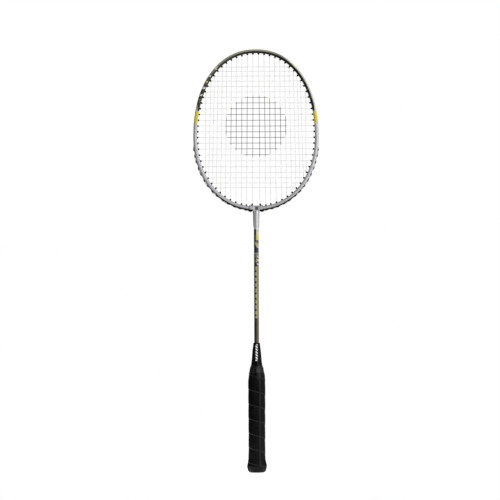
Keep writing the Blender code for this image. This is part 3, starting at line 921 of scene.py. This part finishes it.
class Finish(Nodes):
    """A material with its node tree."""

    def __init__(self, name, **settings):
        self.material = bpy.data.materials.new(name)
        super().__init__(self.material)
        self.shader = self.tree.nodes["Principled BSDF"]
        for socket, value in settings.items():
            self.shader.inputs[socket.replace("_", " ")].default_value = value

    def bump(self, height, strength, distance):
        """A bump from a height pattern."""
        made = self.node("Bump")
        made.inputs["Strength"].default_value = strength
        made.inputs["Distance"].default_value = distance
        self.feed(made.inputs["Height"], height)
        self.feed(self.shader.inputs["Normal"], made.outputs[0])

    def paint(self, base, roughness=None, metallic=None):
        """Feed the shader's patterned sockets, and return the finished material."""
        for name, value in (("Base Color", base), ("Roughness", roughness), ("Metallic", metallic)):
            if value is not None:
                self.feed(self.shader.inputs[name], value)
        return self.material


SILVER = colour(208, 208, 211)
SILVER_SHADE = colour(184, 184, 187)
LACQUER_BLACK = colour(17, 17, 11)
LACQUER_GREY = colour(48, 47, 42)
YELLOW = colour(226, 205, 52)
CREAM = colour(226, 223, 150)
PALE = colour(208, 205, 208)
WHITE_MARK = colour(228, 228, 222)
OLIVE = colour(120, 118, 62)

# Ticks on the hoop: middle (metres anticlockwise from the top), half length, nearest and farthest share of
# the hoop's width from its outer edge, colour
TICKS = [
    (0.0690, 0.0030, -1.0, 0.50, CREAM),
    (0.0712, 0.0007, 0.45, 0.75, WHITE_MARK),
    (0.0848, 0.0014, 0.12, 0.62, WHITE_MARK),
    (0.0950, 0.0012, 0.20, 0.66, CREAM),
    (0.0990, 0.0006, 0.20, 0.80, OLIVE),
    (0.1052, 0.0026, -1.0, 0.40, PALE),
    (0.1062, 0.0014, 0.35, 0.85, WHITE_MARK),
    (0.1178, 0.0015, 0.25, 0.75, WHITE_MARK),
    (0.1252, 0.0014, 0.15, 0.60, OLIVE),
    (0.1290, 0.0007, 0.30, 0.90, OLIVE),
    (-0.0640, 0.0034, -1.0, 0.40, CREAM),
    (-0.0570, 0.0010, -1.0, 0.30, WHITE_MARK),
    (-0.0900, 0.0012, 0.30, 0.60, OLIVE),
    (-0.1040, 0.0014, 0.30, 0.60, OLIVE),
    (-0.1180, 0.0012, 0.35, 0.65, OLIVE),
]


def silver_lacquer(look, bump):
    """The colour and roughness of silver lacquer, with its flakes and smudges also in the surface."""
    flakes = look.cells(FLAKES_PER_METRE)
    smudge = look.noise(160, 3)
    look.bump(look.math("ADD", look.times(flakes, 0.4), smudge), bump, 0.0002)
    silver = look.mix(look.spread(flakes, 0.0, 1.0), SILVER, SILVER_SHADE)
    return silver, look.spread(smudge, 0.46, 0.54)


def hoop_paint():
    """Silver lacquer up to a yellow band, black above it, with small plain ticks on both shoulders, a
    painted sheen at the top and a painted highlight along one outer edge.
    """
    look = Finish("hoop_lacquer", Specular_IOR_Level=0.25, Coat_Weight=0.1, Coat_Roughness=0.12)
    _, _, z = look.place()
    inset, from_top = look.layer("inset"), look.layer("from_top")
    silver, dull = silver_lacquer(look, 0.10)
    inner_share = look.math("DIVIDE", inset, HOOP_WIDTH)
    outer_share = look.minus(1.0, inner_share)
    yellow_from = look.line(inner_share, -0.0085, YELLOW_FROM_Z)
    is_yellow = look.step(look.minus(z, yellow_from), -0.0035, 0.0070)
    is_pale = look.step(z, *PALE_EDGE_Z)
    lift = look.times(look.step(outer_share, 0.35, 0.9), 0.012)
    is_black = look.step(look.minus(z, lift), *BLACK_EDGE_Z)
    base = look.mix(is_yellow, silver, YELLOW)
    base = look.mix(is_pale, base, look.mix(look.step(z, *CREAM_EDGE_Z), PALE, CREAM))
    black = look.mix(look.step(from_top, -0.01, 0.04), LACQUER_BLACK, LACQUER_GREY)
    base = look.mix(is_black, base, black)
    # Painted reflection: a paler olive-grey sheen on the outer half of the hoop's top
    painted_top_sheen = look.times(look.step(outer_share, 0.38, 0.70), look.band(from_top, -0.035, 0.085, 0.02))
    base = look.mix(look.times(painted_top_sheen, 0.9), base, colour(178, 178, 160))
    # Painted highlight: a pale line along the outer edge of the upper right arc
    painted_edge_highlight = look.times(look.step(outer_share, 0.55, 0.72), look.band(from_top, -0.137, -0.045, 0.015))
    base = look.mix(painted_edge_highlight, base, colour(206, 206, 202))
    for centre, half, nearest, farthest, tint in TICKS:
        slant = look.line(inset, 0.55, from_top)
        strip = (slant, centre - half, centre + half, 0.0002)
        base = look.mix(look.patch(strip, (inner_share, nearest, farthest, 0.03)), base, tint)
    lip = look.times(look.step(z, *DARK_LIP_EDGE_Z), DARK_LIP)
    is_lip = look.step(look.minus(lip, inset), -0.00015, 0.00015)
    groove = look.step(inset, 0.0001, 0.0)
    base = look.mix(look.math("MAXIMUM", is_lip, groove), base, colour(20, 20, 20))
    dark = look.math("MAXIMUM", is_black, is_lip)
    metallic = look.line(look.math("MAXIMUM", dark, is_yellow), -0.55, 0.55)
    return look.paint(base, look.math("ADD", dull, look.times(dark, -0.12)), metallic)


def joint_paint():
    """Silver lacquer on the joint, with painted shade: grey along the sleeve's ends and top edge, and nearly
    black down in its dimple.
    """
    look = Finish("joint_lacquer", Coat_Weight=0.25, Coat_Roughness=0.12)
    x, y, z = look.place()
    silver, dull = silver_lacquer(look, 0.12)
    depth = look.math("ABSOLUTE", y)
    rise = look.minus(z, PIN_Z)
    away = look.distance(x, rise)
    # Painted shade: nearly black down in the dimple round the pin, where it is also less metallic
    near = look.times(look.step(away, 0.0044, 0.0012), look.step(depth, 0.003, 0.0042))
    # Painted shade: grey along the sleeve's ends and its top edge
    ends = look.step(look.math("ABSOLUTE", x), SLEEVE_HALF_LENGTH - 0.0011, SLEEVE_HALF_LENGTH - 0.0004)
    shaded_joint_edges = look.math("MAXIMUM", ends, look.step(rise, 0.0032, 0.0042))
    base = look.mix(look.times(shaded_joint_edges, 0.7), silver, colour(92, 92, 94))
    base = look.mix(look.times(near, 0.94), base, colour(28, 28, 30))
    return look.paint(base, dull, look.line(near, -0.4, 0.55))


def shaft_paint():
    """Dark lacquer, with an olive-gold stripe, plain slanted bars and a silver fade under the joint, and a
    bronze tone down one side that is partly the lacquer's own tone, partly a painted highlight.
    """
    look = Finish("shaft_lacquer", Specular_IOR_Level=0.4)
    x, y, z = look.place()
    facing = look.math("SIGN", look.times(y, -1.0))
    across = look.math("DIVIDE", look.times(x, facing), SHAFT_RADIUS)
    grain = look.noise(900, 3, (1, 1, 0.05))
    base = look.mix(look.spread(grain, 0, 1), colour(24, 20, 11), colour(38, 33, 22))
    # A bronze tone down one side: partly the lacquer's own tone, partly a painted highlight
    bronze_and_highlight = look.mix(look.spread(grain, 0, 1), colour(70, 64, 50), colour(84, 77, 62))
    base = look.mix(look.band(across, -0.05, 1.4, 0.3), base, bronze_and_highlight)
    gold = look.mix(look.step(across, 0.0, 0.5), colour(196, 190, 126), colour(112, 106, 72))
    gold = look.mix(look.spread(grain, 0, 0.4), gold, colour(112, 106, 50))
    stripe = look.patch((z, *STRIPE_Z, 0.0006), (across, -0.42, 1.2, 0.14))
    base = look.mix(stripe, base, gold)
    beat = look.math("FRACT", look.math("DIVIDE", z, STRIPE_DASH_PITCH))
    dashes = look.patch((beat, 0.30, 0.62, 0.05), (across, -0.62, 0.06, 0.06), (z, *STRIPE_DASHES_Z, 0.0003))
    base = look.mix(dashes, base, colour(16, 14, 6))
    slanted = look.line(across, 0.0032, z)
    counter = look.line(across, -0.0032, z)
    grey, purple, cream = colour(112, 110, 104), colour(42, 38, 50), colour(206, 203, 150)
    marks = [
        (z, 0.3420, 0.3492, -0.7, 0.9, grey),
        (z, 0.3490, 0.3502, -0.8, 0.9, colour(168, 167, 156)),
        (slanted, 0.3452, 0.3466, 0.1, 0.9, cream),
        (slanted, 0.3395, 0.3412, 0.0, 0.9, cream),
        (counter, 0.3352, 0.3372, 0.0, 0.9, cream),
        (slanted, 0.3330, 0.3346, 0.2, 0.9, WHITE_MARK),
        (counter, 0.3362, 0.3408, -0.8, -0.2, colour(120, 114, 48)),
        (z, 0.3502, 0.3600, -0.9, 0.9, purple),
        (slanted, 0.3600, 0.3614, -0.1, 0.9, colour(200, 196, 208)),
        (slanted, 0.3614, 0.3672, -0.6, 0.95, colour(176, 170, 100)),
        (z, 0.3672, 0.3705, -0.5, 0.6, colour(84, 80, 66)),
        (z, 0.3705, 0.3794, -0.18, 0.95, colour(206, 198, 62)),
        (slanted, 0.3794, 0.3880, -0.02, 0.95, colour(208, 204, 148)),
    ]
    for along, low, high, left, right, tint in marks:
        mask = look.patch((along, low, high, 0.0003), (across, left, right, 0.04))
        base = look.mix(mask, base, tint)
    fade = look.step(look.line(across, 0.0012, z), *SILVER_FADE_Z)
    base = look.mix(fade, base, SILVER)
    roughness = look.line(fade, 0.2, look.spread(look.noise(220, 2), 0.26, 0.36))
    look.bump(grain, 0.06, 0.0001)
    return look.paint(base, roughness, look.times(fade, 0.55))


def moulded(name, tone, rough, grain=2600, bump=0.25, **settings):
    """Moulded plastic: fine grain, with roughness and tone that wander a little."""
    look = Finish(name, **settings)
    wander = look.noise(90, 4)
    fine = look.noise(grain, 3)
    dark = colour(*(max(value - 5, 0) for value in tone))
    light = colour(*(value + 7 for value in tone))
    look.bump(fine, bump, 0.0002)
    return look.paint(look.mix(wander, dark, light), look.spread(fine, rough - 0.06, rough + 0.08))


def string_finish():
    """White multifilament string with a fine wrap, dyed black inside one plain disc."""
    look = Finish("white_nylon", Specular_IOR_Level=0.25)
    x, _, z = look.place()
    away = look.distance(x, look.minus(z, DYE_CENTRE_Z))
    ragged = look.line(look.noise(900, 2), 0.0012, away)
    clean = look.step(ragged, DYE_RADIUS, DYE_RADIUS + 0.0007)
    wear = look.spread(look.noise(500, 3), 0.0, 0.5)
    ink = look.mix(wear, colour(8, 8, 9), colour(22, 22, 23))
    white = look.mix(look.noise(300, 2), colour(244, 244, 241), colour(252, 252, 250))
    wrap = look.math("SINE", look.times(look.layer("along"), 2 * math.pi / 0.0006))
    look.bump(look.line(wrap, 0.5, look.noise(4000, 2)), 0.2, 0.0001)
    return look.paint(look.mix(clean, ink, white), look.spread(look.noise(1500, 2), 0.34, 0.46))


def cone_finish():
    """Gloss black with a row of small plain dashes down its front and back."""
    look = Finish("gloss_black", Specular_IOR_Level=0.06, Coat_Weight=0.02, Coat_Roughness=0.05)
    x, _, z = look.place()
    wander = look.noise(120, 3)
    base = look.mix(wander, colour(6, 6, 7), colour(12, 12, 13))
    beat = look.math("FRACT", look.math("DIVIDE", look.line(x, 0.9, z), CONE_DASH_PITCH))
    dashes = look.patch((beat, 0.18, 0.80, 0.05), (x, -0.0017, 0.0015, 0.0001), (z, *CONE_DASHES_Z, 0.0003))
    base = look.mix(dashes, base, colour(246, 246, 244))
    look.bump(look.noise(1400, 2), 0.05, 0.0001)
    return look.paint(base, look.spread(wander, 0.14, 0.24))


def grip_finish():
    """Soft black polyurethane: pebbled and lightly pricked, with a painted highlight along the wrap's edges
    and painted shade just before each ledge.
    """
    look = Finish("soft_grip", Specular_IOR_Level=0.12)
    x, y, _ = look.place()
    angle = look.math("ARCTAN2", x, look.times(y, -1.0))
    turn = look.line(angle, 1 / (2 * math.pi), look.layer("wound"))
    share = look.math("FRACT", turn)
    # Painted highlight: paler just past each ledge, along the wrap's edges
    edge = look.minus(look.step(share, 0.008, 0.03), look.step(share, 0.04, 0.09))
    # Painted shade: darker just before each turn runs under the next one's ledge
    under = look.step(share, 0.955, 0.995)
    pebble = look.cells(1500)
    wander = look.noise(70, 4)
    base = look.mix(wander, colour(4, 4, 4), colour(9, 9, 9))
    base = look.mix(look.times(edge, 0.5), base, colour(40, 40, 41))
    base = look.mix(look.times(under, 0.9), base, colour(3, 3, 3))
    pricks = look.step(look.cells(420), 0.16, 0.10)
    height = look.minus(look.line(pebble, 0.5, look.noise(600, 3)), pricks)
    look.bump(height, 0.32, 0.00025)
    return look.paint(base, look.spread(wander, 0.22, 0.30))


def wood_finish():
    """Bare light wood with its grain along the handle."""
    look = Finish("bare_wood")
    rings = look.noise(260, 4, (1, 1, 0.06))
    pores = look.noise(1800, 3, (1, 1, 0.1))
    base = look.mix(look.spread(rings, 0, 1), colour(176, 136, 92), colour(214, 180, 134))
    look.bump(pores, 0.2, 0.0002)
    return look.paint(base, look.spread(pores, 0.6, 0.8))


def metal_finish(name, tone, rough):
    """Drawn steel with fine lines and a few dull spots."""
    look = Finish(name, Metallic=1.0)
    lines = look.noise(3000, 2, (1, 0.05, 1))
    base = look.mix(look.noise(700, 3), colour(*tone), colour(*(value - 14 for value in tone)))
    look.bump(lines, 0.1, 0.0001)
    return look.paint(base, look.spread(lines, rough - 0.06, rough + 0.1))


def recoat(node, material):
    """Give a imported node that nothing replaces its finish."""
    coat(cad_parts[node], material)


# ---- studio


def make_floor():
    """A wide white floor that the racket's butt stands on."""
    look = Finish("studio_white", Roughness=0.9, Emission_Color=(1, 1, 1, 1), Emission_Strength=0.8)
    look.paint(look.mix(look.noise(3, 2), colour(240, 240, 240), colour(246, 246, 246)))
    angle = turns(96)
    rim = FLOOR_RADIUS * np.stack([np.sin(angle), np.cos(angle), 0 * angle], axis=-1)
    depth = np.array([0, 0, 1])
    grid = np.stack([rim - 0.0002 * depth, rim - 0.02 * depth])
    floor = put_in_scene("studio_floor", mesh_of("studio_floor", [(grid, False)]))
    coat(floor, look.material)


def make_world():
    """White to the camera; to the racket a room that is brighter to its right, behind it and above."""
    world = bpy.data.worlds.new("studio_world")
    bpy.context.scene.world = world
    room = Nodes(world)
    direction = room.node("TexCoord").outputs["Generated"]
    toward = room.node("VectorMath", direction, (0.65, 0.45, 0.35), operation="DOT_PRODUCT").outputs["Value"]
    lit = room.node("MapRange", toward, -0.8, 0.8, 0.04, 0.62).outputs[0]
    background = room.tree.nodes["Background"]
    room.feed(background.inputs["Color"], (1, 1, 1, 1))
    seen = room.node("LightPath").outputs["Is Camera Ray"]
    room.feed(background.inputs["Strength"], room.math("MAXIMUM", seen, lit))


def make_light(name, place, target, size, power, mirrored=True):
    """A soft rectangular lamp that points from one place to another, mirrored in gloss or not."""
    lamp = bpy.data.lights.new(name, "AREA")
    lamp.shape = "RECTANGLE"
    lamp.size, lamp.size_y = size
    lamp.energy = power
    holder = put_in_scene(name, lamp)
    holder.location = place
    direction = np.array(target) - np.array(place)
    flat = math.hypot(direction[0], direction[1])
    holder.rotation_euler = (math.atan2(flat, -direction[2]), 0, math.atan2(-direction[0], direction[1]))
    holder.visible_glossy = mirrored


def make_lights():
    """A broad soft key at the camera's right, a weak fill at its left and a plain wash from behind."""
    middle = (0, 0, 0.38)
    make_light("key", (1.2, -1.5, 0.7), middle, (2.2, 1.8), 30)
    make_light("fill", (-1.6, -1.1, 0.5), middle, (0.6, 1.2), 3)
    make_light("wash", (-0.5, 1.9, 0.8), middle, (2.4, 2.0), 34, mirrored=False)


def make_camera():
    """The camera square to the racket's face, with the head upright to a fraction of a degree."""
    lens = bpy.data.cameras.new("camera")
    lens.lens = LENS
    lens.sensor_width = SENSOR
    lens.clip_end = 20
    camera = put_in_scene("camera", lens)
    camera.location = (VIEW_CENTRE_X, -VIEW_WIDTH * LENS / SENSOR, VIEW_CENTRE_Z)
    camera.rotation_euler = (0.5 * math.pi, VIEW_ROLL, 0)
    bpy.context.scene.camera = camera
    bpy.context.scene.view_settings.view_transform = "Standard"


# ---- build


def build():
    """Make the camera and studio, then every piece of the racket."""
    make_camera()
    make_world()
    make_lights()
    make_floor()
    nylon = moulded("black_nylon", (12, 12, 12), 0.5, Specular_IOR_Level=0.1)
    white_string = string_finish()
    make_hoop(hoop_paint())
    make_strips(nylon)
    make_strings(white_string)
    make_knots(white_string)
    make_t_joint(joint_paint())
    make_pin(metal_finish("dark_steel", (88, 88, 90), 0.4))
    make_shaft(shaft_paint())
    make_cone(cone_finish())
    make_grip(grip_finish())
    make_band(moulded("black_vinyl", (12, 12, 12), 0.3, grain=1500, bump=0.1, Specular_IOR_Level=0.25))
    make_butt_cap(moulded("butt_black", (20, 20, 21), 0.45, grain=1800))
    recoat("hoop_plug", moulded("plug_grey", (72, 72, 74), 0.6))
    recoat("handle_core", wood_finish())
    recoat("grip_staple", metal_finish("bright_steel", (190, 190, 192), 0.32))


build()
